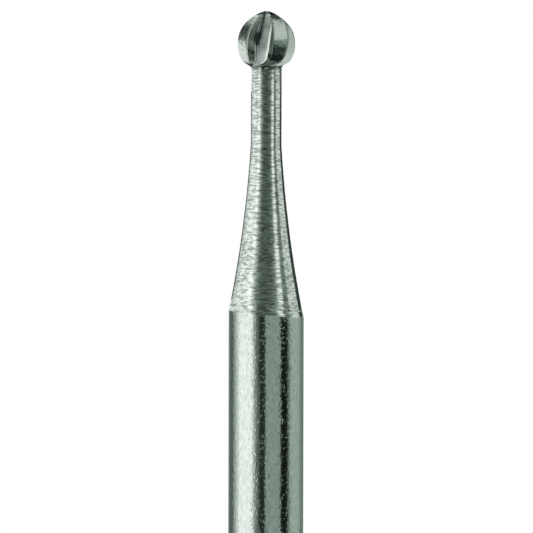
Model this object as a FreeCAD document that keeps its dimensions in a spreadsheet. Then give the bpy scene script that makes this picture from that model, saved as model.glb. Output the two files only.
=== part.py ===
"""Round dental bur: a ball head with helical blades, a neck, a concave taper and a plain shank.

One piece of tool steel. The head is a toothed form whose blades follow the ball, with the ball's
own surface turned onto it, which leaves a narrow land behind each edge. The origin is the centre
of the shank's free end, and +Z runs along the axis to the cutting tip. Millimetres and degrees.
"""
import FreeCAD, Part
import math
import os
import Sketcher
from FreeCAD import Vector

NODE = "round_bur"

# Each driving size: name, value, what it measures.
SIZES = [
    ("overall_length", "44.5", "shank end to cutting tip"),
    ("shank_diameter", "2.35", "handpiece shank"),
    ("shank_end_chamfer", "0.25", "45 degree chamfer at the free end"),
    ("taper_length", "5.335", "shoulder to neck"),
    ("taper_hollow_radius", "39", "radius of the taper's concave side"),
    ("neck_length", "2.4", "taper to head"),
    ("neck_diameter", "0.965", "straight neck"),
    ("head_diameter", "1.8", "over the blades"),
    ("tip_rise", "0.075", "tip above a true ball"),
    ("tip_flat_diameter", "0.12", "small ground flat where the blades meet"),
    ("crown_latitude", "45", "where the ball turns into the blunt tip, above the equator"),
    ("belly_band", "0.08", "straight band under the equator"),
    ("underside_latitude", "36", "where the ball turns into the underside, below the equator"),
    ("underside_slope", "54", "underside cone, from the axis"),
    ("blade_count", "8", "blades round the head"),
    ("first_blade_angle", "5", "azimuth of a cutting edge at the equator"),
    ("helix_angle", "8.5", "right-hand lead of the blades, from a meridian"),
    ("flute_depth", "0.28", "edge to root, along the edge's radius"),
    ("face_slope", "27", "cutting face, from the edge's radius"),
    ("land_width", "0.045", "ball surface left behind each edge"),
    ("runout_curl", "45", "turn of the blades' tails where the flutes run out at the neck"),
    ("runout_sink", "0.03", "how far inside the neck the flutes' roots end, so that they run out on it"),
]

# Sizes that follow from those above, as sheet formulas. The blades' section is worked out on a
# ball of radius 1 whose cutting edge lies at azimuth 0. Its root is the bottom of the flute in front
# of the edge. Its crest is where the cutting face and the blade's back would meet outside the ball.
WORKED_OUT = [
    ("shank_radius", "Sizes.shank_diameter / 2"),
    ("neck_radius", "Sizes.neck_diameter / 2"),
    ("ball_radius", "Sizes.head_diameter / 2"),
    ("tip_height", "ball_radius + Sizes.tip_rise"),
    ("equator_level", "Sizes.overall_length - tip_height"),
    ("tip_flat_radius", "Sizes.tip_flat_diameter / 2"),
    ("crown_offset", "(tip_flat_radius ^ 2 + tip_height ^ 2 - ball_radius ^ 2)"
                     " / (2 * (ball_radius - tip_flat_radius * cos(Sizes.crown_latitude)"
                     " - tip_height * sin(Sizes.crown_latitude)))"),
    ("crown_radius", "ball_radius + crown_offset"),
    ("tip_slope", "acos((tip_flat_radius + crown_offset * cos(Sizes.crown_latitude)) / crown_radius)"
                  " / 1 deg"),
    ("underside_radius", "ball_radius * cos(Sizes.underside_latitude)"),
    ("underside_drop", "Sizes.belly_band + ball_radius * sin(Sizes.underside_latitude)"),
    ("head_drop", "underside_drop + (underside_radius - neck_radius) / tan(Sizes.underside_slope)"),
    ("neck_level", "equator_level - head_drop"),
    ("taper_level", "neck_level - Sizes.neck_length"),
    ("shoulder_level", "taper_level - Sizes.taper_length"),
    ("blade_pitch", "360 / Sizes.blade_count"),
    ("root_in", "1 - Sizes.flute_depth / ball_radius"),
    ("root_side", "Sizes.flute_depth * tan(Sizes.face_slope) / ball_radius"),
    ("land_angle", "Sizes.land_width / ball_radius * 180 / pi"),
    ("face_in", "1 - root_in"),
    ("face_side", "-root_side"),
    ("back_in", "cos(land_angle) - root_in * cos(blade_pitch) - root_side * sin(blade_pitch)"),
    ("back_side", "root_in * sin(blade_pitch) - root_side * cos(blade_pitch) - sin(land_angle)"),
    ("crest", "(sin(land_angle) * back_in - (1 - cos(land_angle)) * back_side)"
              " / (face_in * back_side - face_side * back_in)"),
    ("root_reach", "sqrt(root_in ^ 2 + root_side ^ 2)"),
    ("root_turn", "atan(root_side / root_in) / 1 deg"),
    ("runout_radius", "neck_radius - Sizes.runout_sink"),
    ("runout_share", "(root_reach * ball_radius - runout_radius) / (ball_radius - neck_radius)"),
    ("crest_reach", "sqrt((1 + crest * face_in) ^ 2 + (crest * face_side) ^ 2)"),
    ("crest_turn", "atan(crest * face_side / (1 + crest * face_in)) / 1 deg"),
]

# How sharply the blades' tails curl as they near the neck.
CURL_POWER = 9
# The toothed form's topmost section: this many times the tip flat's size, and this far above it.
TIP_SECTION = 1.5
TIP_CLEARANCE = 0.06
# How far outside the ball the turning starts.
TURNING_CLEARANCE = 0.5
# The toothed form's sections on the crown, as shares of its arc from the ball to the tip flat.
CROWN_STEPS = (0.9, 0.6, 0.3)
# Its sections on the ball, as shares of the latitude where each part of the ball ends.
UPPER_STEPS = (1.0, 0.5, 0.0)
LOWER_STEPS = (0.3, 0.65, 1.0)
# Its sections on the underside, as shares of the cone's height. The last one is inside the neck.
UNDERSIDE_STEPS = (0.3, 0.6, 0.85, 1.12)
# How much further the blades' helix runs down the underside, in degrees of latitude.
UNDERSIDE_LATITUDES = 10


def make_sheet(doc, name, rows):
    """Fill a spreadsheet with named cells, one row each."""
    sheet = doc.addObject("Spreadsheet::Sheet", name)
    for number, row in enumerate(rows, start=1):
        alias, content = row[0], row[1]
        sheet.set("A%d" % number, alias)
        sheet.set("B%d" % number, content)
        sheet.setAlias("B%d" % number, alias)
        if len(row) > 2:
            sheet.set("C%d" % number, row[2])
    doc.recompute()
    return sheet


def origin_feature(body, role):
    return [f for f in body.Origin.OriginFeatures if f.Role == role][0]


def attach(sketch, body, role):
    sketch.AttachmentSupport = [(origin_feature(body, role), "")]
    sketch.MapMode = "FlatFace"


def value_of(sheet, expression):
    return float(sheet.evalExpression(expression))


def arc_middle(start, end, radius, bulge):
    """The point halfway along an arc, on the right of start-to-end where bulge is 1."""
    chord = end - start
    sagitta = radius - math.sqrt(radius ** 2 - (chord.Length / 2) ** 2)
    side = Vector(chord.y, -chord.x, 0).normalize()
    return (start + end) * 0.5 + side * sagitta * bulge


def draw_outline(sketch, sheet, corners, edges):
    """Draw a closed outline: corners are pairs of expressions, edges join each to the next.

    An edge is None for a line, or a pair of the arc's radius and its bulge.
    """
    points = [Vector(value_of(sheet, x), value_of(sheet, y), 0) for x, y in corners]
    for i, edge in enumerate(edges):
        start, end = points[i], points[(i + 1) % len(points)]
        if edge is None:
            sketch.addGeometry(Part.LineSegment(start, end), False)
        else:
            middle = arc_middle(start, end, value_of(sheet, edge[0]), edge[1])
            sketch.addGeometry(Part.Arc(start, middle, end), False)

    def end_at(geometry, point):
        nearer = min((1, 2), key=lambda end: (sketch.getPoint(geometry, end) - point).Length)
        return geometry, nearer

    for i, (x, y) in enumerate(corners):
        before = end_at((i - 1) % len(corners), points[i])
        after = end_at(i, points[i])
        sketch.addConstraint(Sketcher.Constraint("Coincident", *before, *after))
        for axis, expression, value in (("DistanceX", x, points[i].x), ("DistanceY", y, points[i].y)):
            if expression == "0":
                line = -2 if axis == "DistanceX" else -1
                sketch.addConstraint(Sketcher.Constraint("PointOnObject", *after, line))
                continue
            size = sketch.addConstraint(Sketcher.Constraint(axis, -1, 1, *after, value))
            sketch.setExpression("Constraints[%d]" % size, expression)
    for i, edge in enumerate(edges):
        if edge is not None:
            radius = Sketcher.Constraint("Radius", i, value_of(sheet, edge[0]))
            sketch.setExpression("Constraints[%d]" % sketch.addConstraint(radius), edge[0])


def turn(body, sheet, kind, name, corners, edges):
    """Turn an outline drawn in the XZ plane about the bur's axis, to add or to cut."""
    sketch = body.newObject("Sketcher::SketchObject", name + "Profile")
    attach(sketch, body, "XZ_Plane")
    draw_outline(sketch, sheet, corners, edges)
    turned = body.newObject("PartDesign::" + kind, name)
    turned.Profile = sketch
    turned.ReferenceAxis = (sketch, ["V_Axis"])
    turned.Angle = 360
    body.Tip = turned
    return turned


def turn_ball(body, sheet):
    """Cut away all that stands outside the ball, its blunt crown, its underside and the neck."""
    outside = "Worked.ball_radius + %g" % TURNING_CLEARANCE
    over = "Sizes.overall_length + %g" % TURNING_CLEARANCE
    under = "Worked.neck_level - %g" % TURNING_CLEARANCE
    corners = [
        ("Worked.neck_radius", under),
        ("Worked.neck_radius", "Worked.neck_level"),
        ("Worked.underside_radius", "Worked.equator_level - Worked.underside_drop"),
        ("Worked.ball_radius", "Worked.equator_level - Sizes.belly_band"),
        ("Worked.ball_radius", "Worked.equator_level"),
        ("Worked.ball_radius * cos(Sizes.crown_latitude)",
         "Worked.equator_level + Worked.ball_radius * sin(Sizes.crown_latitude)"),
        ("Worked.tip_flat_radius", "Sizes.overall_length"),
        ("0", "Sizes.overall_length"),
        ("0", over),
        (outside, over),
        (outside, under),
    ]
    ball = ("Worked.ball_radius", 1)
    crown = ("Worked.crown_radius", 1)
    edges = [None, None, ball, None, ball, crown, None, None, None, None, None]
    return turn(body, sheet, "Groove", "Ball", corners, edges)


def turn_stem(body, sheet):
    """Shank, taper and neck. The neck runs on inside the head, so the flutes run out on it."""
    corners = [
        ("0", "0"),
        ("Worked.shank_radius - Sizes.shank_end_chamfer", "0"),
        ("Worked.shank_radius", "Sizes.shank_end_chamfer"),
        ("Worked.shank_radius", "Worked.shoulder_level"),
        ("Worked.neck_radius", "Worked.taper_level"),
        ("Worked.neck_radius", "Worked.equator_level"),
        ("0", "Worked.equator_level"),
    ]
    hollow = ("Sizes.taper_hollow_radius", -1)
    return turn(body, sheet, "Revolution", "Stem", corners,
                [None, None, None, hollow, None, None, None])


def head_stations():
    """Each section's radius, height above the equator, latitude and radius at the flutes' roots.

    Above the equator the roots keep their share of the radius. Below it they near the neck in step
    with the ball's own surface, so that the flutes run out where the head meets the neck.
    """
    full = "(%s * Worked.root_reach)"
    runout = "(Worked.runout_radius + Worked.runout_share * (%s - Worked.neck_radius))"
    tip = "(%g * Worked.tip_flat_radius)" % TIP_SECTION
    over = "(Worked.tip_height + %g)" % TIP_CLEARANCE
    stations = [(tip, over, "Worked.tip_slope", full % tip)]
    for share in CROWN_STEPS:
        slope = "(%g * Worked.tip_slope + %g * Sizes.crown_latitude)" % (share, 1 - share)
        across = "(Worked.crown_radius * cos(%s) - Worked.crown_offset * cos(Sizes.crown_latitude))"
        above = "(Worked.crown_radius * sin(%s) - Worked.crown_offset * sin(Sizes.crown_latitude))"
        radius = across % slope
        stations.append((radius, above % slope, slope, full % radius))
    for share in UPPER_STEPS:
        latitude = "(%g * Sizes.crown_latitude)" % share
        radius = "(Worked.ball_radius * cos(%s))" % latitude
        stations.append((radius, "(Worked.ball_radius * sin(%s))" % latitude, latitude, full % radius))
    for share in LOWER_STEPS:
        latitude = "(-%g * Sizes.underside_latitude)" % share
        radius = "(Worked.ball_radius * cos(%s))" % latitude
        above = "(Worked.ball_radius * sin(%s) - Sizes.belly_band)" % latitude
        stations.append((radius, above, latitude, runout % radius))
    for share in UNDERSIDE_STEPS:
        across = "(Worked.underside_radius - %g * (Worked.underside_radius - Worked.neck_radius))"
        above = "(-Worked.underside_drop - %g * (Worked.head_drop - Worked.underside_drop))"
        latitude = "(-Sizes.underside_latitude - %g)" % (UNDERSIDE_LATITUDES * share)
        radius = across % share
        stations.append((radius, above % share, latitude, runout % radius))
    return stations


def draw_toothed_section(body, sheet, number, station):
    """One level section of the head: a straight cutting face and back to each blade."""
    radius, above, latitude, root = station
    reach = {"crest": "(%s * Worked.crest_reach)" % radius, "root": root}
    sketch = body.newObject("Sketcher::SketchObject", "HeadSection%d" % number)
    attach(sketch, body, "XY_Plane")
    helix = "tan(Sizes.helix_angle) * log(tan(45 + %s / 2)) * 180 / pi" % latitude
    curl = "Sizes.runout_curl * (max(0; -%s) / Worked.head_drop) ^ %d" % (above, CURL_POWER)
    twist = "Sizes.first_blade_angle + %s - %s" % (helix, curl)
    place = "placement(vector(0; 0; Worked.equator_level + %s); rotationz(%s))" % (above, twist)
    sketch.setExpression("AttachmentOffset", place)
    corners = []
    for blade in range(int(value_of(sheet, "Sizes.blade_count"))):
        for point in ("crest", "root"):
            azimuth = "(Worked.%s_turn + %d * Worked.blade_pitch)" % (point, blade)
            corners.append(tuple("%s * %s(%s)" % (reach[point], along, azimuth)
                                 for along in ("cos", "sin")))
    draw_outline(sketch, sheet, corners, [None] * len(corners))
    return sketch


def form_teeth(doc, body, sheet):
    """Loft the head's sections into one toothed form, from above the tip to inside the neck."""
    sections = [draw_toothed_section(body, sheet, number, station)
                for number, station in enumerate(head_stations(), start=1)]
    doc.recompute()
    teeth = body.newObject("PartDesign::AdditiveLoft", "Teeth")
    teeth.Profile = sections[0]
    teeth.Sections = sections[1:]
    body.Tip = teeth
    return teeth


def check(doc, body):
    """Stop if anything in the document failed, or the part isn't one sound solid."""
    failed = [o.Name for o in doc.Objects if "Invalid" in o.State or "Error" in o.State]
    if failed:
        raise RuntimeError("failed features: " + ", ".join(failed))
    if body.Shape.isNull() or not body.Shape.isValid():
        raise RuntimeError("the part's shape is not valid")
    if len(body.Shape.Solids) != 1:
        raise RuntimeError("the part has %d solids" % len(body.Shape.Solids))


def main():
    doc = FreeCAD.newDocument("RoundBur")
    make_sheet(doc, "Sizes", SIZES)
    formulas = [(alias, "=" + formula) for alias, formula in WORKED_OUT]
    worked = make_sheet(doc, "Worked", formulas)

    body = doc.addObject("PartDesign::Body", "Bur")
    body.Label = NODE
    teeth = form_teeth(doc, body, worked)
    doc.recompute()
    ball = turn_ball(body, worked)
    doc.recompute()
    print("toothed form %.4f mm3, turned %.4f mm3" % (teeth.Shape.Volume, ball.Shape.Volume))
    turn_stem(body, worked)
    doc.recompute()

    check(doc, body)
    os.makedirs("parts", exist_ok=True)
    body.Shape.exportStep("parts/%s.step" % NODE)
    box = body.Shape.BoundBox
    print("%s: %.3f x %.3f x %.3f mm, %.4f mm3, %d faces"
          % (NODE, box.XLength, box.YLength, box.ZLength, body.Shape.Volume, len(body.Shape.Faces)))


main()
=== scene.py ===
# %% [markdown]
# # A round dental bur, dressed for its picture
#
# A round bur is the small cutting tool that a handpiece spins. It is one piece of tool steel: a ball
# with eight blades, a slim neck, a hollow taper and a plain shank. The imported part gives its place
# and its size. It comes in as a fixed frame, and everything below is built round it, in metres, with
# the origin at the shank's free end and +Z up to the cutting tip.

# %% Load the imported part
import math
import random

import bmesh
import bpy
from mathutils import Matrix, Vector


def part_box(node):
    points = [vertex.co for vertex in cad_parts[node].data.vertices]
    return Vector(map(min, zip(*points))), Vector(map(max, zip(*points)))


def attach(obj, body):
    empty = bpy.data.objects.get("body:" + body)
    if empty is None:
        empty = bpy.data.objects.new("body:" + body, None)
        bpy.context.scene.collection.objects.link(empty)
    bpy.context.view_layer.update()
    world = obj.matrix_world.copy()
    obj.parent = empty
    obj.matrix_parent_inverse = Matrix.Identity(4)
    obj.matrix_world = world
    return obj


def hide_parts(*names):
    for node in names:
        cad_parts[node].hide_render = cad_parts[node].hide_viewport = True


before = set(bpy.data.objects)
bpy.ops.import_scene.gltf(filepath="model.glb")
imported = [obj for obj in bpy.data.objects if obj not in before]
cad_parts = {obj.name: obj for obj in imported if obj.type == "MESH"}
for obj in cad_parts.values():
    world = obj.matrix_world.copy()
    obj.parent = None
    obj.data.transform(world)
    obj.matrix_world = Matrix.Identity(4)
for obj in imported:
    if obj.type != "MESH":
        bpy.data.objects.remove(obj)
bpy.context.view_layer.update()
cad_low, cad_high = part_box("round_bur")
print("the packed bur is", round((cad_high.z - cad_low.z) * 1000, 3), "mm long")

# %% [markdown]
# ## The sizes
#
# A toolmaker's drawing gives a few sizes, and the rest follow from them. The same is done here, in
# millimetres and degrees, so that a new head or a new helix is one number to change.

# %% Driving sizes, in millimetres and degrees
MM = 0.001
overall_length = 44.5
shank_diameter = 2.35
shank_end_chamfer = 0.25
taper_length = 5.335
taper_hollow_radius = 39.0
neck_length = 2.4
neck_diameter = 0.965
head_diameter = 1.8
tip_rise = 0.075
tip_flat_diameter = 0.12
crown_latitude = 45.0
belly_band = 0.08
underside_latitude = 36.0
underside_slope = 54.0
blade_count = 8
first_blade_angle = 5.0
helix_angle = 8.5
flute_depth = 0.28
face_slope = 27.0
land_width = 0.045
runout_curl = 45.0
runout_sink = 0.03
curl_power = 12

# %% Sizes that follow from them
def cosd(degrees):
    return math.cos(math.radians(degrees))


def sind(degrees):
    return math.sin(math.radians(degrees))


def tand(degrees):
    return math.tan(math.radians(degrees))


shank_radius = shank_diameter / 2
neck_radius = neck_diameter / 2
ball_radius = head_diameter / 2
tip_flat_radius = tip_flat_diameter / 2
tip_height = ball_radius + tip_rise
equator_level = overall_length - tip_height
crown_reach = ball_radius - tip_flat_radius * cosd(crown_latitude) - tip_height * sind(crown_latitude)
crown_offset = (tip_flat_radius**2 + tip_height**2 - ball_radius**2) / (2 * crown_reach)
crown_radius = ball_radius + crown_offset
tip_slope = math.degrees(
    math.acos((tip_flat_radius + crown_offset * cosd(crown_latitude)) / crown_radius)
)
underside_radius = ball_radius * cosd(underside_latitude)
underside_drop = belly_band + ball_radius * sind(underside_latitude)
head_drop = underside_drop + (underside_radius - neck_radius) / tand(underside_slope)
neck_level = equator_level - head_drop
taper_level = neck_level - neck_length
shoulder_level = taper_level - taper_length
print("the neck starts at", round(neck_level, 3), "and the shoulder is at", round(shoulder_level, 3))

# %% [markdown]
# ## The outline, drawn with a pencil
#
# A bur starts as a ground wire that is turned to shape, so the mesh starts the same way: as half of
# its outline. A single vertex is the pencil. Extruding it draws a line and spinning it draws an arc,
# and the outline is later spun once round the axis. Each ring of the mesh is one point of this line,
# so points lie close together only where the shape changes.

# %% The pencil
outline = bmesh.new()
pen = outline.verts.new((0.0, 0.0, overall_length))


def draw_line(pen, x, z, steps=1):
    start = pen.co.copy()
    end = Vector((x, 0.0, z))
    for step in range(1, steps + 1):
        made = bmesh.ops.extrude_vert_indiv(outline, verts=[pen])
        pen = made["verts"][0]
        pen.co = start.lerp(end, step / steps)
    return pen


def draw_arc(pen, centre_x, centre_z, degrees, steps):
    made = bmesh.ops.spin(
        outline,
        geom=[pen],
        cent=(centre_x, 0.0, centre_z),
        axis=(0.0, 1.0, 0.0),
        angle=math.radians(degrees),
        steps=steps,
    )
    return [v for v in made["geom_last"] if isinstance(v, bmesh.types.BMVert)][0]


# %% The head's outline
crown_steps = 14
ball_steps = 34
band_steps = 3
underside_steps = 28
cone_steps = 18
pen = draw_line(pen, tip_flat_radius, overall_length, 2)
pen = draw_arc(
    pen,
    -crown_offset * cosd(crown_latitude),
    equator_level - crown_offset * sind(crown_latitude),
    tip_slope - crown_latitude,
    crown_steps,
)
pen = draw_arc(pen, 0.0, equator_level, crown_latitude, ball_steps)
pen = draw_line(pen, ball_radius, equator_level - belly_band, band_steps)
pen = draw_arc(pen, 0.0, equator_level - belly_band, underside_latitude, underside_steps)
pen = draw_line(pen, neck_radius, neck_level, cone_steps)
print("the head's outline has", len(outline.verts), "points and ends at", round(pen.co.z, 4))

# %% [markdown]
# ## Turning marks
#
# The neck and the taper are turned, and the tool leaves a fine thread of uneven rings behind it.
# They are real furrows, so they are drawn into the outline: each ring is cut a little deeper or
# shallower than the last. The true rings are some 0.02 mm apart, too fine to show at this size, so
# these are about three times as coarse. They only ever cut inwards, which keeps the bur's size.
# Three deeper grooves show where the tool paused: under the head, just below the start of the
# taper, and just above the shoulder. The taper's hollow is part of a large circle through the
# neck's end and the shoulder.

# %% Neck and taper
ring_pitch = 0.065
ring_depth = 0.006
narrowest_ring = 0.7
widest_ring = 1.3
last_gap = 1.6
taper_groove_drop = 0.12
shoulder_groove_rise = 0.20
shoulder_rise = 0.05
lathe = random.Random(11)
chord_x = (neck_radius + shank_radius) / 2
chord_z = (taper_level + shoulder_level) / 2
chord = math.hypot(shank_radius - neck_radius, taper_length)
reach = math.sqrt(taper_hollow_radius**2 - (chord / 2) ** 2)
hollow_x = chord_x + reach * taper_length / chord
hollow_z = chord_z + reach * (shank_radius - neck_radius) / chord


def stem_radius(z):
    if z >= taper_level:
        return neck_radius
    if z <= shoulder_level:
        return shank_radius
    return hollow_x - math.sqrt(taper_hollow_radius**2 - (z - hollow_z) ** 2)


def draw_turned(pen, end_z):
    z = pen.co.z
    while z - ring_pitch * last_gap > end_z:
        z -= ring_pitch * lathe.uniform(narrowest_ring, widest_ring)
        pen = draw_line(pen, stem_radius(z) - ring_depth * lathe.random(), z)
    return draw_line(pen, stem_radius(end_z), end_z)


def draw_groove(pen, width, depth):
    top = pen.co.z
    for share in (0.3, 0.7):
        z = top - share * width
        pen = draw_line(pen, stem_radius(z) - depth, z)
    return draw_line(pen, stem_radius(top - width), top - width)


pen = draw_groove(pen, width=0.05, depth=0.010)
pen = draw_turned(pen, taper_level - taper_groove_drop)
pen = draw_groove(pen, width=0.07, depth=0.010)
pen = draw_turned(pen, shoulder_level + shoulder_groove_rise)
pen = draw_groove(pen, width=0.06, depth=0.008)
pen = draw_turned(pen, shoulder_level + shoulder_rise)
pen = draw_line(pen, shank_radius, shoulder_level)
print("with neck and taper the outline has", len(outline.verts), "points")

# %% Shank, chamfer and end
shank_steps = 12
pen = draw_line(pen, shank_radius, shank_end_chamfer, shank_steps)
pen = draw_line(pen, shank_radius - shank_end_chamfer, 0.0)
pen = draw_line(pen, 0.0, 0.0, 2)
print("the outline ends on the axis at", tuple(round(c, 4) for c in pen.co))

# %% [markdown]
# ## The turned blank
#
# One full spin of the outline gives the blank. The number of steps is a whole number for each blade,
# so that later every edge and every root can lie on a line of the mesh. The two poles come out as
# many vertices in one place, and merging the doubles closes them.

# %% Spin the outline
steps_per_blade = 32
spin_steps = steps_per_blade * blade_count
merge_distance = 0.0002
bur = outline
bmesh.ops.spin(
    bur,
    geom=bur.verts[:] + bur.edges[:],
    cent=(0.0, 0.0, 0.0),
    axis=(0.0, 0.0, 1.0),
    angle=math.radians(360),
    steps=spin_steps,
    use_merge=True,
)
bmesh.ops.remove_doubles(bur, verts=bur.verts[:], dist=merge_distance)
open_edges = [e for e in bur.edges if len(e.link_faces) != 2]
print("the blank has", len(bur.faces), "faces and", len(open_edges), "open edges")

# %% [markdown]
# ## The blades
#
# On the real bur a milling cutter runs from the tip to the neck, once for each flute. Its steep side
# leaves the cutting face and its flat side leaves the back of the next blade. A narrow land stays
# between them, ground with a little relief so that only its front edge cuts. Here each ring of the
# head is pushed in to that section, as a sculptor would press a toothed stamp into clay, so the mesh
# stays closed and its edges are clean. The cutter keeps its depth as the ball falls away towards the
# tip, so the flute takes a larger share of the radius there and its face stands steeper. Below the
# equator it rises out of the ball and ends on the neck. The cutter's corner leaves a fine ridge
# along each root, which draws a thin bright line in the dark flute.

# %% The section of one blade, on a ball of radius 1
land_angle = math.degrees(land_width / ball_radius)
land_relief = 36.0
blade_pitch = 360 / blade_count
edge = Vector((1.0, 0.0))
land_back = Vector((cosd(blade_pitch - land_angle), sind(blade_pitch - land_angle)))
land_back *= 1 - land_width / ball_radius * tand(land_relief)
root_rounding = 0.09
depth_climb = 0.0017
face_climb = 0.24
ridge_height = 0.016
ridge_shares = {1: 1.0, 2: 0.6, 3: 0.2}
face_steps = 8
root_steps = 6
back_steps = 14
land_steps = steps_per_blade - face_steps - root_steps - back_steps


def eased(step, steps):
    return (1 - math.cos(math.pi * step / steps)) / 2


def root_point(latitude):
    depth = flute_depth / ball_radius + depth_climb * max(0.0, latitude)
    return Vector((1 - depth, depth * tand(face_slope - face_climb * max(0.0, latitude))))


def blade_section(step, root):
    face_foot = root.lerp(edge, root_rounding * 2)
    back_foot = root.lerp(land_back, root_rounding)
    if step <= face_steps:
        return edge.lerp(face_foot, eased(step, face_steps))
    step -= face_steps
    if step <= root_steps:
        share = step / root_steps
        rise = ridge_height / ball_radius * ridge_shares.get(step, 0.0)
        rounded = face_foot.lerp(root, share).lerp(root.lerp(back_foot, share), share)
        return rounded + rise * (edge + land_back - 2 * root).normalized()
    step -= root_steps
    if step <= back_steps:
        return back_foot.lerp(land_back, eased(step, back_steps))
    next_edge = Vector((cosd(blade_pitch), sind(blade_pitch)))
    return land_back.lerp(next_edge, (step - back_steps) / land_steps)


print("at the equator the root lies", round(ball_radius * (1 - root_point(0).length), 3), "mm deep")

# %% [markdown]
# ## The lead of the blades
#
# A blade crosses every meridian at the same angle, as a ship does that keeps its compass course. On
# a ball that line has a simple formula, with the logarithm of a tangent. It holds for the crown too,
# when the slope of the surface stands for the latitude. At the neck the cutter is lifted out while
# the bur turns on, so the last of each blade curls round.

# %% The blades' lead, from tip to neck
cone_lead = 10.0


def slope_latitude(z):
    above = z - equator_level
    if above > ball_radius * sind(crown_latitude):
        return math.degrees(
            math.asin(min(1.0, (above + crown_offset * sind(crown_latitude)) / crown_radius))
        )
    if above >= 0:
        return math.degrees(math.asin(above / ball_radius))
    if above > -belly_band:
        return 0.0
    if above > -underside_drop:
        return math.degrees(math.asin((above + belly_band) / ball_radius))
    down_the_cone = (-above - underside_drop) / (head_drop - underside_drop)
    return -(underside_latitude + cone_lead * down_the_cone)


def blade_turn(z):
    lead = tand(helix_angle) * math.log(tand(45 + slope_latitude(z) / 2))
    below = max(0.0, equator_level - z)
    lead -= tand(helix_angle) * min(below, belly_band) / ball_radius
    return first_blade_angle + math.degrees(lead) - runout_curl * (below / head_drop) ** curl_power


whole_turn = blade_turn(overall_length - 0.05) - blade_turn(neck_level)
print("a blade turns", round(whole_turn, 1), "degrees")

# %% [markdown]
# ## Grime, and one blade off its pitch
#
# The steel is painted darker where shade falls: in the roots, in the deeper grooves and round the tip.
# Each vertex gets its share of this painted shade as an attribute, which the finishes read later. One
# flute is painted darker than the others. The blade beside it stands a little wide of its pitch,
# because the wheel that turns the bur from flute to flute is never quite exact.

# %% Where the painted shade sits
# Rings painted darker as painted shade: under the head, in the groove below the taper's start, and round
# the tip.
shaded_rings = [
    (neck_level - 0.05, neck_level + 0.02, 0.65),
    (taper_level - 0.18, taper_level - 0.13, 0.4),
    (overall_length - 0.13, overall_length + 1, 1.0),
]
shaded_blade = 5
clean_face_shade = 0.12
next_face_shade = 0.5
root_shade = 0.5
dark_flute_face_shade = 0.58
dark_flute_ridge_shade = 0.2
dark_flute_back_shade = 0.72
shade_fade = 0.3


# Painted shade in the flutes: the roots are darker, one flute is darker over most of its walls, and the
# face after it a little.
def shade_in_flute(blade, step):
    past_root = step - face_steps - root_steps / 2
    if blade != shaded_blade:
        face_shade = next_face_shade if blade == shaded_blade + 1 else clean_face_shade
        return face_shade if past_root < 0 else root_shade * max(0.0, 1 - past_root / root_steps)
    if past_root < 0:
        return dark_flute_ridge_shade if past_root > -root_steps / 2 else dark_flute_face_shade
    along_back = past_root / (back_steps + root_steps / 2)
    return dark_flute_back_shade * max(0.0, 1 - along_back) ** shade_fade


def shade_on_ring(z):
    return max([share for low, high, share in shaded_rings if low < z < high], default=0.0)


# %% One blade off its pitch
index_error = 2.3


def off_pitch(blade, step):
    if blade == shaded_blade + 1 and step < face_steps:
        return index_error * (1 - step / face_steps)
    past_root = step - face_steps - root_steps
    if blade == shaded_blade and past_root > 0:
        return index_error * past_root / (steps_per_blade - face_steps - root_steps)
    return 0.0


print("blade", shaded_blade + 1, "stands", index_error, "degrees off its pitch")

# %% Push the blank's rings in
runout_round = 0.010
hair = 0.001
far_out = 40
strip_layer = bur.verts.layers.int.new("strip")
# Each vertex keeps its share of painted shade in this attribute.
shade_layer = bur.verts.layers.float.new("painted_shade")
runout_radius = neck_radius - runout_sink
runout_share = (ball_radius * root_point(0).length - runout_radius) / (ball_radius - neck_radius)
for vert in bur.verts:
    radius = math.hypot(vert.co.x, vert.co.y)
    vert[shade_layer] = shade_on_ring(vert.co.z)
    if vert.co.z < neck_level - hair or radius < hair:
        vert[strip_layer] = -1
        continue
    azimuth = math.degrees(math.atan2(vert.co.y, vert.co.x))
    blade, step = divmod(round(azimuth * spin_steps / 360) % spin_steps, steps_per_blade)
    root = root_point(slope_latitude(vert.co.z))
    if vert.co.z < equator_level:
        root = root.normalized() * (runout_radius + runout_share * (radius - neck_radius)) / radius
    point = blade_section(step, root) * radius
    reach_out = point.length
    gap = (reach_out - neck_radius) / runout_round
    if vert.co.z < equator_level and gap < far_out:
        reach_out = neck_radius + runout_round * math.log1p(math.exp(gap))
    reach_out = min(reach_out, radius)
    turn = math.atan2(point.y, point.x)
    turn += math.radians(blade * blade_pitch + blade_turn(vert.co.z) + off_pitch(blade, step))
    vert.co.x = reach_out * math.cos(turn)
    vert.co.y = reach_out * math.sin(turn)
    vert[strip_layer] = step if reach_out > neck_radius + 2 * hair else -1
    vert[shade_layer] = max(vert[shade_layer], shade_in_flute(blade, step))
head_reach = max(math.hypot(v.co.x, v.co.y) for v in bur.verts if v.co.z > neck_level)
print("the head is", round(2 * head_reach, 3), "mm across its edges")

# %% [markdown]
# ## A little out of true
#
# The shank is ground between wheels and the rest is turned in a second chuck, so the two axes never
# meet quite exactly. In the picture the taper sits some hundredths of a millimetre to one side. Its
# end then runs slanting round the shank instead of level. The shoulder's ring is moved along the
# taper to lie on that slanting line, and the rings near it follow.

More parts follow.
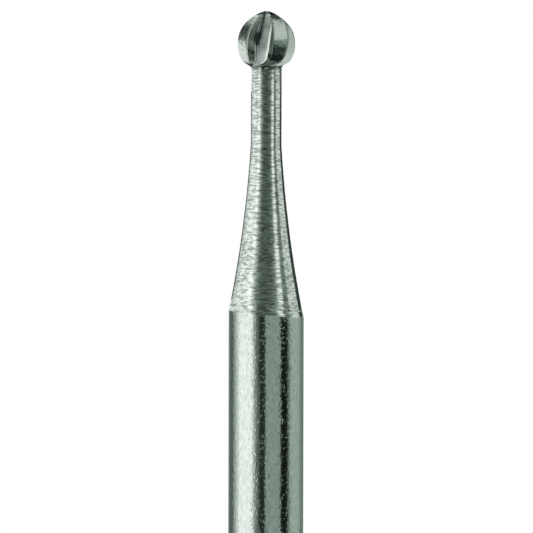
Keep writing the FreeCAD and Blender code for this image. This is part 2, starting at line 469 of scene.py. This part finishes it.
# %% Shift the turned end
skew_at_shoulder = 0.024
skew_at_tip = 0.010
follow_length = 1.2
short_way = 0.02
shoulder_fall = (stem_radius(shoulder_level) - stem_radius(shoulder_level + short_way)) / short_way
shoulder_ring = {v for v in bur.verts if abs(v.co.z - shoulder_level) < hair}
for line in {e for v in shoulder_ring for e in v.link_edges}:
    if all(v in shoulder_ring for v in line.verts):
        line.smooth = False
for vert in bur.verts:
    above = vert.co.z - shoulder_level
    if above < -hair:
        continue
    radius = math.hypot(vert.co.x, vert.co.y)
    share_of_way = above / (overall_length - shoulder_level)
    skew = skew_at_shoulder + (skew_at_tip - skew_at_shoulder) * share_of_way
    if above < follow_length:
        side = vert.co.x / radius
        slide = -skew_at_shoulder * side / shoulder_fall * (1 - max(0.0, above) / follow_length)
        shrink = 1 - slide * shoulder_fall / radius
        vert.co.x *= shrink
        vert.co.y *= shrink
        vert.co.z += slide
    vert.co.x -= skew
    beyond = math.hypot(vert.co.x, vert.co.y) / shank_radius
    if beyond > 1:
        vert.co.x /= beyond
        vert.co.y /= beyond
print("the shoulder slants by", round(2 * skew_at_shoulder / shoulder_fall, 3), "mm across the shank")

# %% [markdown]
# ## Finishes by region
#
# The bur is one piece with several finishes, one for each way it was machined. Faces are sorted by
# where they lie: flutes, lands, turned neck and taper, ground shank. The mesh stays whole. Its sharp
# lines are the cutting edges, the shoulder and the shank's end, and all else is shaded smooth.

# %% Sort the faces and mark the sharp lines
FLUTE, LAND, TURNED, GROUND = range(4)
sharp_angle = 40.0
half_a_shank_step = 0.5
tip_zone = 0.02
tip_flat_zone = 0.003


def region(face):
    strips = [v[strip_layer] for v in face.verts]
    middle = face.calc_center_median()
    if middle.z < shoulder_level - half_a_shank_step:
        return GROUND
    if min(strips) < 0 and middle.z < overall_length - tip_zone:
        return TURNED
    if middle.z > overall_length - tip_flat_zone:
        return LAND
    first, last = min(strips), max(strips)
    strip = last if last - first > 2 else first
    return LAND if strip >= steps_per_blade - land_steps else FLUTE


for face in bur.faces:
    face.material_index = region(face)
    face.smooth = True
bmesh.ops.recalc_face_normals(bur, faces=bur.faces[:])
for line in bur.edges:
    if line.calc_face_angle(0.0) > math.radians(sharp_angle):
        line.smooth = False
bmesh.ops.scale(bur, vec=(MM, MM, MM), verts=bur.verts[:])
triangles = sum(len(f.verts) - 2 for f in bur.faces)
print("volume", round(bur.calc_volume() / MM**3, 2), "cubic mm,", triangles, "triangles")

# %% Make it a piece of the scene
bur_mesh = bpy.data.meshes.new("bur_body")
bur.to_mesh(bur_mesh)
bur.free()
bur_body = bpy.data.objects.new("bur_body", bur_mesh)
bpy.context.scene.collection.objects.link(bur_body)
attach(bur_body, "root")
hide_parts("round_bur")

# %% [markdown]
# ## Colours and nodes
#
# Screen colours are written as sRGB hex values, and Blender works in linear light, so one function
# turns one into the other. A second one adds a node with its settings and its links. A link is named
# after its socket, or _0, _1 and so on where sockets share a name.

# %% Helpers
def linear(hex_colour):
    channels = [int(hex_colour[i : i + 2], 16) / 255 for i in (1, 3, 5)]
    light = [c / 12.92 if c <= 0.04045 else ((c + 0.055) / 1.055) ** 2.4 for c in channels]
    return (*light, 1.0)


def add_node(tree, kind, settings=None, **links):
    node = tree.nodes.new(kind)
    for name, value in (settings or {}).items():
        if isinstance(name, int) or name in node.inputs:
            node.inputs[name].default_value = value
        else:
            setattr(node, name, value)
    for name, source in links.items():
        socket = int(name[1:]) if name[1:].isdigit() else name.replace("_", " ")
        tree.links.new(source, node.inputs[socket])
    return node


def new_material(name):
    material = bpy.data.materials.new(name)
    material.use_nodes = True
    material.node_tree.nodes.clear()
    return material, material.node_tree


def per_mm(size):
    """A texture scale for a pattern whose features are that many millimetres apart."""
    return 1 / (size * MM)


STEEL = "#ccd3cf"
DULL_STEEL = "#a3ada7"
BRIGHT_TURNED_STEEL = "#e2e7e4"
TORN_STEEL = "#8f9993"
# The lands' lighter steel colour is a painted highlight.
PAINTED_HIGHLIGHT_STEEL = "#e2e8e5"
# Dark grey for painted shade, and for the pits in the flutes.
SHADE_AND_PIT_GREY = "#3c4541"

# %% [markdown]
# ## Ground and tumbled steel: the shank
#
# A shank is ground true and then tumbled, which leaves a bright but grainy skin: fine scratches that
# run mostly along the axis, a soft mottle, and a few nicks that flash. In the picture it gives clean
# light and dark bands with freckled borders. The real grain is near 0.01 mm; 0.07 mm is the finest
# that shows here.

# %% The shank's steel
def tumbled_steel():
    material, tree = new_material("tool_steel_ground_and_tumbled")
    place = add_node(tree, "ShaderNodeTexCoord").outputs["Object"]
    stretch = add_node(tree, "ShaderNodeMapping", {"Scale": (1.0, 1.0, 0.45)}, Vector=place).outputs[0]
    grain = add_node(
        tree,
        "ShaderNodeTexNoise",
        {"Scale": per_mm(0.07), "Detail": 2.0, "Roughness": 0.6},
        Vector=stretch,
    ).outputs[0]
    freckle = add_node(
        tree, "ShaderNodeTexNoise", {"Scale": per_mm(0.25), "Detail": 2.0}, Vector=stretch
    ).outputs[0]
    nick = add_node(
        tree, "ShaderNodeTexNoise", {"Scale": per_mm(0.085), "Detail": 1.0}, Vector=place
    ).outputs[0]
    nick = add_node(
        tree, "ShaderNodeMapRange", {"From Min": 0.58, "From Max": 0.8}, Value=nick
    ).outputs[0]
    bump = add_node(
        tree, "ShaderNodeBump", {"Strength": 1.0, "Distance": 0.0032 * MM}, Height=grain
    ).outputs[0]
    bump = add_node(
        tree, "ShaderNodeBump", {"Strength": 1.0, "Distance": 0.0035 * MM}, Height=freckle, Normal=bump
    ).outputs[0]
    bump = add_node(
        tree, "ShaderNodeBump", {"Strength": 1.0, "Distance": 0.005 * MM}, Height=nick, Normal=bump
    ).outputs[0]
    dull = add_node(
        tree,
        "ShaderNodeMapRange",
        {"From Min": 0.35, "From Max": 0.65, "To Min": 0.0, "To Max": 0.6},
        Value=grain,
    ).outputs[0]
    colour = add_node(
        tree, "ShaderNodeMix", {"data_type": "RGBA", 6: linear(STEEL), 7: linear(DULL_STEEL)}, _0=dull
    ).outputs[2]
    steel = add_node(
        tree,
        "ShaderNodeBsdfPrincipled",
        {"Metallic": 1.0, "Roughness": 0.13},
        Base_Color=colour,
        Normal=bump,
    )
    add_node(tree, "ShaderNodeOutputMaterial", Surface=steel.outputs[0])
    return material


# %% [markdown]
# ## Turned steel: neck and taper
#
# A lathe tool leaves rings round the axis. Light that falls on them is spread up and down, along the
# axis, and stays sharp sideways, which is what the shader's anisotropy does. Where the tool chattered
# it left short dashes, some polished and some torn and dull. They come from a noise that is long
# round the axis and short along it.

# %% The neck's and the taper's steel
def turned_steel():
    material, tree = new_material("tool_steel_turned")
    place = add_node(tree, "ShaderNodeTexCoord").outputs["Object"]
    rings = add_node(tree, "ShaderNodeMapping", {"Scale": (1.0, 1.0, 4.0)}, Vector=place).outputs[0]
    chatter = add_node(
        tree,
        "ShaderNodeTexNoise",
        {"Scale": per_mm(0.2), "Detail": 2.0, "Roughness": 0.6},
        Vector=rings,
    ).outputs[0]
    bump = add_node(
        tree, "ShaderNodeBump", {"Strength": 1.0, "Distance": 0.0048 * MM}, Height=chatter
    ).outputs[0]
    torn = add_node(
        tree, "ShaderNodeMapRange", {"From Min": 0.42, "From Max": 0.62}, Value=chatter
    ).outputs[0]
    colour = add_node(
        tree,
        "ShaderNodeMix",
        {"data_type": "RGBA", 6: linear(BRIGHT_TURNED_STEEL), 7: linear(TORN_STEEL)},
        _0=torn,
    ).outputs[2]
    # The grooves and the ring under the head are painted darker from the mesh attribute: painted shade.
    painted_shade = add_node(tree, "ShaderNodeAttribute", {"attribute_name": "painted_shade"}).outputs["Fac"]
    colour = add_node(
        tree, "ShaderNodeMix", {"data_type": "RGBA", 7: linear(SHADE_AND_PIT_GREY)}, _0=painted_shade, _6=colour
    ).outputs[2]
    steel = add_node(
        tree,
        "ShaderNodeBsdfPrincipled",
        {
            "Metallic": 1.0,
            "Roughness": 0.17,
            "Anisotropic": 0.5,
            "Anisotropic Rotation": 0.25,
        },
        Base_Color=colour,
        Normal=bump,
    )
    add_node(tree, "ShaderNodeOutputMaterial", Surface=steel.outputs[0])
    return material


# %% [markdown]
# ## Milled steel: the flutes
#
# A milling cutter runs along each flute and leaves a smooth but not polished wall, with a few pits
# where a grain tore out. The roots are painted darker: painted shade. In the flute that faces the camera a
# spot of painted shade spreads up the wall: it is full dark inside the first of its two radii and
# gone at the second, and a noise makes it ragged.

# %% The flutes' steel
# A spot of painted shade on the wall of the flute that faces the camera.
shade_spot_middle = Vector((-0.285, -0.57, 43.57))
shade_spot_size = (0.08, 0.20)
shade_spot_raggedness = 0.14


def milled_steel():
    material, tree = new_material("tool_steel_milled")
    place = add_node(tree, "ShaderNodeTexCoord").outputs["Object"]
    grain = add_node(
        tree, "ShaderNodeTexNoise", {"Scale": per_mm(0.07), "Detail": 2.0}, Vector=place
    ).outputs[0]
    bump = add_node(
        tree, "ShaderNodeBump", {"Strength": 1.0, "Distance": 0.006 * MM}, Height=grain
    ).outputs[0]
    ragged_noise = add_node(
        tree, "ShaderNodeTexNoise", {"Scale": per_mm(0.22), "Detail": 3.0}, Vector=place
    ).outputs[0]
    painted_shade = add_node(tree, "ShaderNodeAttribute", {"attribute_name": "painted_shade"}).outputs["Fac"]
    patchy = add_node(
        tree,
        "ShaderNodeMapRange",
        {"From Min": 0.3, "From Max": 0.7, "To Min": 0.8, "To Max": 1.15},
        Value=ragged_noise,
    ).outputs[0]
    root_shade_share = add_node(
        tree, "ShaderNodeMath", {"operation": "MULTIPLY", "use_clamp": True}, _0=painted_shade, _1=patchy
    ).outputs[0]
    squat = (1.0, 1.0, 0.5)
    along = add_node(tree, "ShaderNodeMapping", {"Scale": squat}, Vector=place).outputs[0]
    middle = tuple(c * s * MM for c, s in zip(shade_spot_middle, squat))
    away = add_node(
        tree, "ShaderNodeVectorMath", {"operation": "DISTANCE", 1: middle}, _0=along
    ).outputs["Value"]
    ragged = add_node(
        tree, "ShaderNodeMath", {"operation": "MULTIPLY_ADD", 1: -shade_spot_raggedness * MM}, _0=ragged_noise, _2=away
    ).outputs[0]
    inner, outer = ((size - shade_spot_raggedness / 2) * MM for size in shade_spot_size)
    spread = add_node(
        tree,
        "ShaderNodeMapRange",
        {"From Min": inner, "From Max": outer, "To Min": 1.0, "To Max": 0.0},
        Value=ragged,
    ).outputs[0]
    pits = add_node(tree, "ShaderNodeTexVoronoi", {"Scale": per_mm(0.24)}, Vector=place)
    pit = add_node(
        tree,
        "ShaderNodeMapRange",
        {"From Min": 0.06, "From Max": 0.13, "To Min": 0.9, "To Max": 0.0},
        Value=pits.outputs["Distance"],
    ).outputs[0]
    # Painted shade and the real pits both darken the steel.
    shade_and_pits = root_shade_share
    for more in (spread, pit):
        shade_and_pits = add_node(tree, "ShaderNodeMath", {"operation": "MAXIMUM"}, _0=shade_and_pits, _1=more).outputs[0]
    colour = add_node(
        tree, "ShaderNodeMix", {"data_type": "RGBA", 6: linear(STEEL), 7: linear(SHADE_AND_PIT_GREY)}, _0=shade_and_pits
    ).outputs[2]
    steel = add_node(
        tree,
        "ShaderNodeBsdfPrincipled",
        {"Metallic": 1.0, "Roughness": 0.2},
        Base_Color=colour,
        Normal=bump,
    )
    add_node(tree, "ShaderNodeOutputMaterial", Surface=steel.outputs[0])
    return material


# %% [markdown]
# ## Ground steel: the lands
#
# The lands are ground last of all, after the flutes are cut. They are narrow and a little rounded by
# the wheel, so they catch light from almost anywhere and draw a bright line along each blade. Their
# steel is given a lighter colour than the flutes', which is a painted highlight.

# %% The lands' steel
def honed_steel():
    material, tree = new_material("tool_steel_honed_edge_painted_highlight")
    place = add_node(tree, "ShaderNodeTexCoord").outputs["Object"]
    grain = add_node(
        tree, "ShaderNodeTexNoise", {"Scale": per_mm(0.06), "Detail": 2.0}, Vector=place
    ).outputs[0]
    sheen = add_node(
        tree, "ShaderNodeMapRange", {"To Min": 0.25, "To Max": 0.45}, Value=grain
    ).outputs[0]
    # The base colour is lighter than the flutes' steel: a painted highlight.
    steel = add_node(
        tree,
        "ShaderNodeBsdfPrincipled",
        {"Base Color": linear(PAINTED_HIGHLIGHT_STEEL), "Metallic": 1.0},
        Roughness=sheen,
    )
    add_node(tree, "ShaderNodeOutputMaterial", Surface=steel.outputs[0])
    return material


for make in (milled_steel, honed_steel, turned_steel, tumbled_steel):
    bur_mesh.materials.append(make())
print("finishes:", [m.name for m in bur_mesh.materials])

# %% [markdown]
# ## The studio
#
# Bare metal has little colour of its own: it shows what stands round it. A photographer lights it
# with white cards and black flags, and every light or dark band on the bur is one of them. Each far
# card is a piece of a large ball round the bur: one vertex is spun up to an arc, and the arc is spun
# round the axis. Azimuths are counted from the camera, positive to its right, in degrees. The dimmer
# a card is, the greener is its cloth, because the picture's shadows are greener than its lights.

# %% Cards and flags
def glow(name, colour, strength):
    material, tree = new_material(name)
    shine = add_node(tree, "ShaderNodeEmission", {"Color": linear(colour), "Strength": strength})
    add_node(tree, "ShaderNodeOutputMaterial", Surface=shine.outputs[0])
    return material


cloths = [(0.12, "#d9ffe8"), (0.35, "#e4ffee"), (0.6, "#eefff3"), (0.9, "#f7fff9"), (9.0, "#fdfffd")]


def cloth(strength):
    return next(colour for limit, colour in cloths if strength <= limit)


def hang(name, patch, strength):
    mesh = bpy.data.meshes.new(name)
    patch.to_mesh(mesh)
    patch.free()
    mesh.materials.append(glow(name, cloth(strength), strength))
    panel = bpy.data.objects.new(name, mesh)
    bpy.context.scene.collection.objects.link(panel)
    panel.visible_camera = False
    panel.visible_shadow = False
    return panel


def sweep(card, middle, left, right):
    bmesh.ops.spin(
        card,
        geom=card.verts[:] + card.edges[:],
        cent=middle,
        axis=(0.0, 0.0, 1.0),
        angle=math.radians(right - left),
        steps=12,
    )


def round_card(name, left, right, low, high, strength, distance):
    patch = bmesh.new()
    middle = Vector((0.0, 0.0, equator_level * MM))
    aim = Matrix.Rotation(math.radians(left), 3, "Z")
    foot = Vector((0.0, -distance * cosd(low), distance * sind(low)))
    corner = patch.verts.new(middle + aim @ foot)
    bmesh.ops.spin(
        patch,
        geom=[corner],
        cent=middle,
        axis=aim @ Vector((-1.0, 0.0, 0.0)),
        angle=math.radians(high - low),
        steps=10,
    )
    sweep(patch, middle, left, right)
    return hang(name, patch, strength)


# %% The far cards
far_distance = 0.5
over_lens_distance = 0.025
far_cards = [
    ("left_rear_box", -180, -132, -75, 60, 1.10),
    ("left_box", -132, -98, -75, 60, 0.80),
    ("left_box_low", -98, -66, -75, 38, 0.80),
    ("left_strip", -66, -44, -75, 80, 1.20),
    ("left_flag", -44, -24, -75, 80, 0.10),
    ("front_flag", -24, 20, -75, 75, 0.015),
    ("right_flag", 20, 68, -75, 75, 0.26),
    ("right_box", 68, 114, -75, 80, 0.66),
    ("right_rear_grey", 114, 180, -75, 20, 0.15),
]
for name, left, right, low, high, strength in far_cards:
    round_card(name, left, right, low, high, strength, far_distance)
for name, low, high, strength in [("over_lens_box", 19, 84, 0.84), ("over_lens_fall", 7, 19, 0.32)]:
    card = round_card(name, -16, 14, low, high, strength, over_lens_distance)
    card.visible_diffuse = False
print(len(far_cards), "far cards stand", far_distance, "m from the bur")

# %% [markdown]
# ## Low cards for the neck and the taper
#
# In the picture the head's upper half mirrors other things than its lower half, the neck and the
# taper. So most cards stand low and near, with their upper edge just under the head: the lower
# half and everything below it look at them, and the upper half looks over them at the far ones.
# Three more lie level: a white shelf that brightens the taper's left, and two black flags that
# darken the underside of the blade to the right of the middle.

# %% The low cards
low_distance = 5.0
low_foot = shoulder_level + 0.5
low_top = 42.9
rear_top = 42.3
low_cards = [
    ("low_left_rear", -178, -138, rear_top, 0.08),
    ("low_left_side", -138, -108, low_top, 0.86),
    ("low_left_box", -108, -60, low_top, 1.12),
    ("low_left_strip", -60, -45, low_top, 1.30),
    ("low_left_edge", -45, -37, low_top, 0.75),
    ("low_left_fall_bright", -37, -28, low_top, 0.40),
    ("low_left_fall_dim", -28, -18, low_top, 0.20),
    ("low_front_black", -18, 11, low_top, 0.135),
    ("low_front_grey", 11, 22, low_top, 0.165),
    ("low_right_fall", 22, 32, low_top, 0.24),
    ("low_right_strip_edge", 32, 39, low_top, 0.45),
    ("low_right_strip", 39, 55, low_top, 1.08),
    ("low_right_gap", 55, 75, low_top, 0.26),
    ("low_right_box", 75, 119, low_top, 0.80),
    ("low_right_rear", 119, 178, rear_top, 0.05),
]


def swept_card(name, left, right, near, low, far, high, strength):
    card = bmesh.new()
    start = card.verts.new((near * MM * sind(left), -near * MM * cosd(left), low * MM))
    made = bmesh.ops.extrude_vert_indiv(card, verts=[start])
    made["verts"][0].co = (far * MM * sind(left), -far * MM * cosd(left), high * MM)
    sweep(card, (0.0, 0.0, 0.0), left, right)
    hang(name, card, strength).visible_diffuse = False


for name, left, right, high, strength in low_cards:
    swept_card(name, left, right, low_distance, low_foot, low_distance, high, strength)
print(len(low_cards), "low cards stand", low_distance, "mm from the axis")

# %% The level cards
flag_level = neck_level + 0.02
flag_split = 1.9
level_cards = [
    ("low_left_shelf", -150, -40, 1.6, low_distance, low_foot, 1.0),
    ("front_flag_near", 1, 42, 0.7, flag_split, flag_level, 0.012),
    ("front_flag_far", -14, 10, flag_split, low_distance, flag_level, 0.012),
]
for name, left, right, near, far, level, strength in level_cards:
    swept_card(name, left, right, near, level, far, level, strength)
print("the flags lie", round(neck_level - flag_level, 3), "mm below the neck's upper end")

# %% [markdown]
# ## A sleeve of cards for the shank
#
# The shank shows other bands than the neck and the taper: a white one, a black one, a mid grey and
# another black, all with crisp borders. They are narrow cards that stand close round the shank. The
# edges are given by the place round the shank where each should show, and the law of reflection gives
# the direction to put it in. They are for the steel alone, so the floor doesn't see them. Each card
# is given by its left edge and its strength, and the last one ends at the shank's right side.

# %% The sleeve
sleeve_distance = 4.5
sleeve_foot = 0.2
sleeve_top = shoulder_level + 0.35
black_strip_top = shoulder_level - 0.12
black_strip = 10
shank_side = 90
sleeve_cards = [
    (-90, 0.36),
    (-76, 0.17),
    (-59, 0.55),
    (-52, 0.95),
    (-46, 1.45),
    (-21, 0.80),
    (-18, 0.40),
    (-14.5, 0.19),
    (-10.5, 0.035),
    (-1, 0.45),
    (22.5, 0.008),
    (35, 0.24),
    (39, 0.59),
    (59, 0.48),
    (66, 0.28),
    (75, 0.26),
]


def seen_at(degrees):
    ray = degrees - math.degrees(math.asin(shank_radius * sind(degrees) / sleeve_distance))
    return degrees + ray


right_edges = [left for left, strength in sleeve_cards[1:]] + [shank_side]
for number, ((left, strength), right) in enumerate(zip(sleeve_cards, right_edges)):
    name = "sleeve_%02d" % number
    top = black_strip_top if number == black_strip else sleeve_top
    span = (seen_at(left), seen_at(right))
    swept_card(name, *span, sleeve_distance, sleeve_foot, sleeve_distance, top, strength)
print("the sleeve spans", round(seen_at(-shank_side)), "to", round(seen_at(shank_side)), "degrees")

# %% [markdown]
# ## The dusk between the cards
#
# Gaps between cards would mirror pure black. A studio is never that dark, so a dim green-grey world
# fills them.

# %% The light between the cards
world = bpy.data.worlds.new("studio_dark")
bpy.context.scene.world = world
world.use_nodes = True
world.node_tree.nodes.clear()
dusk_look = {"Color": linear("#d9ffe8"), "Strength": 0.06}
dusk = add_node(world.node_tree, "ShaderNodeBackground", dusk_look)
add_node(world.node_tree, "ShaderNodeOutputWorld", Surface=dusk.outputs[0])
print("the world's strength is", dusk_look["Strength"])

# %% [markdown]
# ## Floor, backdrop and camera
#
# The bur stands on a small pale floor, in front of a white backdrop that closes all round. The
# backdrop is there only for the camera: the steel must mirror the cards and not the white. A long
# lens, level with the middle of the picture, gives a flat view without visible depth. The bur leans
# a seventh of a degree in the picture, so the camera is rolled by that much.

# %% Floor and backdrop
floor_radius = 0.2
backdrop_radius = 1.2


def stage_object(name, shape, material):
    mesh = bpy.data.meshes.new(name)
    shape.to_mesh(mesh)
    shape.free()
    mesh.materials.append(material)
    thing = bpy.data.objects.new(name, mesh)
    bpy.context.scene.collection.objects.link(thing)
    return thing


disc = bmesh.new()
bmesh.ops.create_circle(disc, cap_ends=True, segments=96, radius=floor_radius)
floor_material, floor_tree = new_material("pale_floor")
floor_shader = add_node(
    floor_tree, "ShaderNodeBsdfPrincipled", {"Base Color": linear("#f2f4f3"), "Roughness": 0.9}
)
add_node(floor_tree, "ShaderNodeOutputMaterial", Surface=floor_shader.outputs[0])
floor = stage_object("floor", disc, floor_material)
floor.visible_glossy = False

dome = bmesh.new()
bmesh.ops.create_uvsphere(dome, u_segments=48, v_segments=24, radius=backdrop_radius)
backdrop = stage_object("backdrop", dome, glow("white_backdrop", "#ffffff", 1.0))
backdrop.visible_glossy = False
backdrop.visible_shadow = False
print("the floor is", round(2000 * floor_radius), "mm across")

# %% Camera
picture_height = 16.70 * MM
picture_centre = 36.50 * MM
picture_offset = 0.005 * MM
camera_roll = -0.14
lens = bpy.data.cameras.new("camera")
lens.lens = 200.0
lens.sensor_width = 36.0
lens.clip_start = 0.002
lens.clip_end = 20.0
camera = bpy.data.objects.new("camera", lens)
bpy.context.scene.collection.objects.link(camera)
camera_distance = picture_height * lens.lens / lens.sensor_width
camera.location = (picture_offset, -camera_distance, picture_centre)
camera.rotation_euler = (math.radians(90), math.radians(camera_roll), 0.0)
bpy.context.scene.camera = camera
bpy.context.scene.view_settings.view_transform = "Standard"
print("the camera stands", round(camera_distance * 1000, 1), "mm from the bur")
